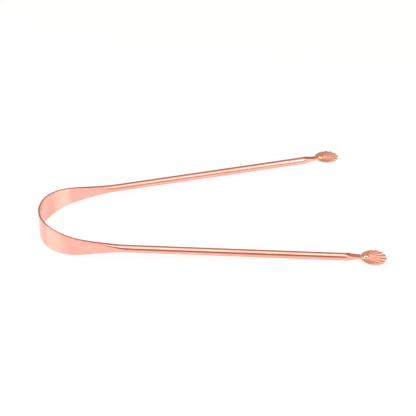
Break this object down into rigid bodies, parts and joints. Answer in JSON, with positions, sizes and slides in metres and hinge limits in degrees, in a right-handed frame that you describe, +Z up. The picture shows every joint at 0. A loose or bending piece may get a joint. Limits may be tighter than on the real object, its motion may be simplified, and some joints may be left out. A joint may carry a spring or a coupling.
{
  "type": "tongue scraper",
  "caption": "U-shaped copper tongue scraper: a thin rolled band at the bend scrapes, two springy round arms end in small shell-shaped finger rests.",
  "frame": {"origin": "on the table the scraper lies on, under the middle of its overall box", "axes": "+X from the bend towards the finger rests, +Y from the near arm to the far arm, +Z up from the table"},
  "size_m": [0.1402, 0.093, 0.0112],
  "materials": {
    "rolled_copper": "polished rolled copper",
    "drawn_copper": "polished drawn copper rod",
    "coined_copper": "coined copper, slightly darker in the grooves"
  },
  "bodies": {
    "bend": {"scraping_band": "rolled_copper"},
    "near_side": {"near_shoulder": "rolled_copper", "near_arm": "drawn_copper", "near_neck": "drawn_copper", "near_finger_rest": "coined_copper"},
    "far_side": {"far_shoulder": "rolled_copper", "far_arm": "drawn_copper", "far_neck": "drawn_copper", "far_finger_rest": "coined_copper"}
  },
  "joints": [
    {"name": "near_arm_flex", "type": "hinge", "parent": "bend", "child": "near_side", "pos_m": [-0.0593, -0.0131, 0.00582], "axis": [0.0378, 0, 0.9993], "range_deg": [-6, 8], "stiffness_Nm_per_rad": 1.196, "deforming": ["scraping_band"]},
    {"name": "far_arm_flex", "type": "hinge", "parent": "bend", "child": "far_side", "pos_m": [-0.0593, 0.0131, 0.00582], "axis": [-0.0378, 0, -0.9993], "range_deg": [-6, 8], "stiffness_Nm_per_rad": 1.196, "deforming": ["scraping_band"]}
  ]
}
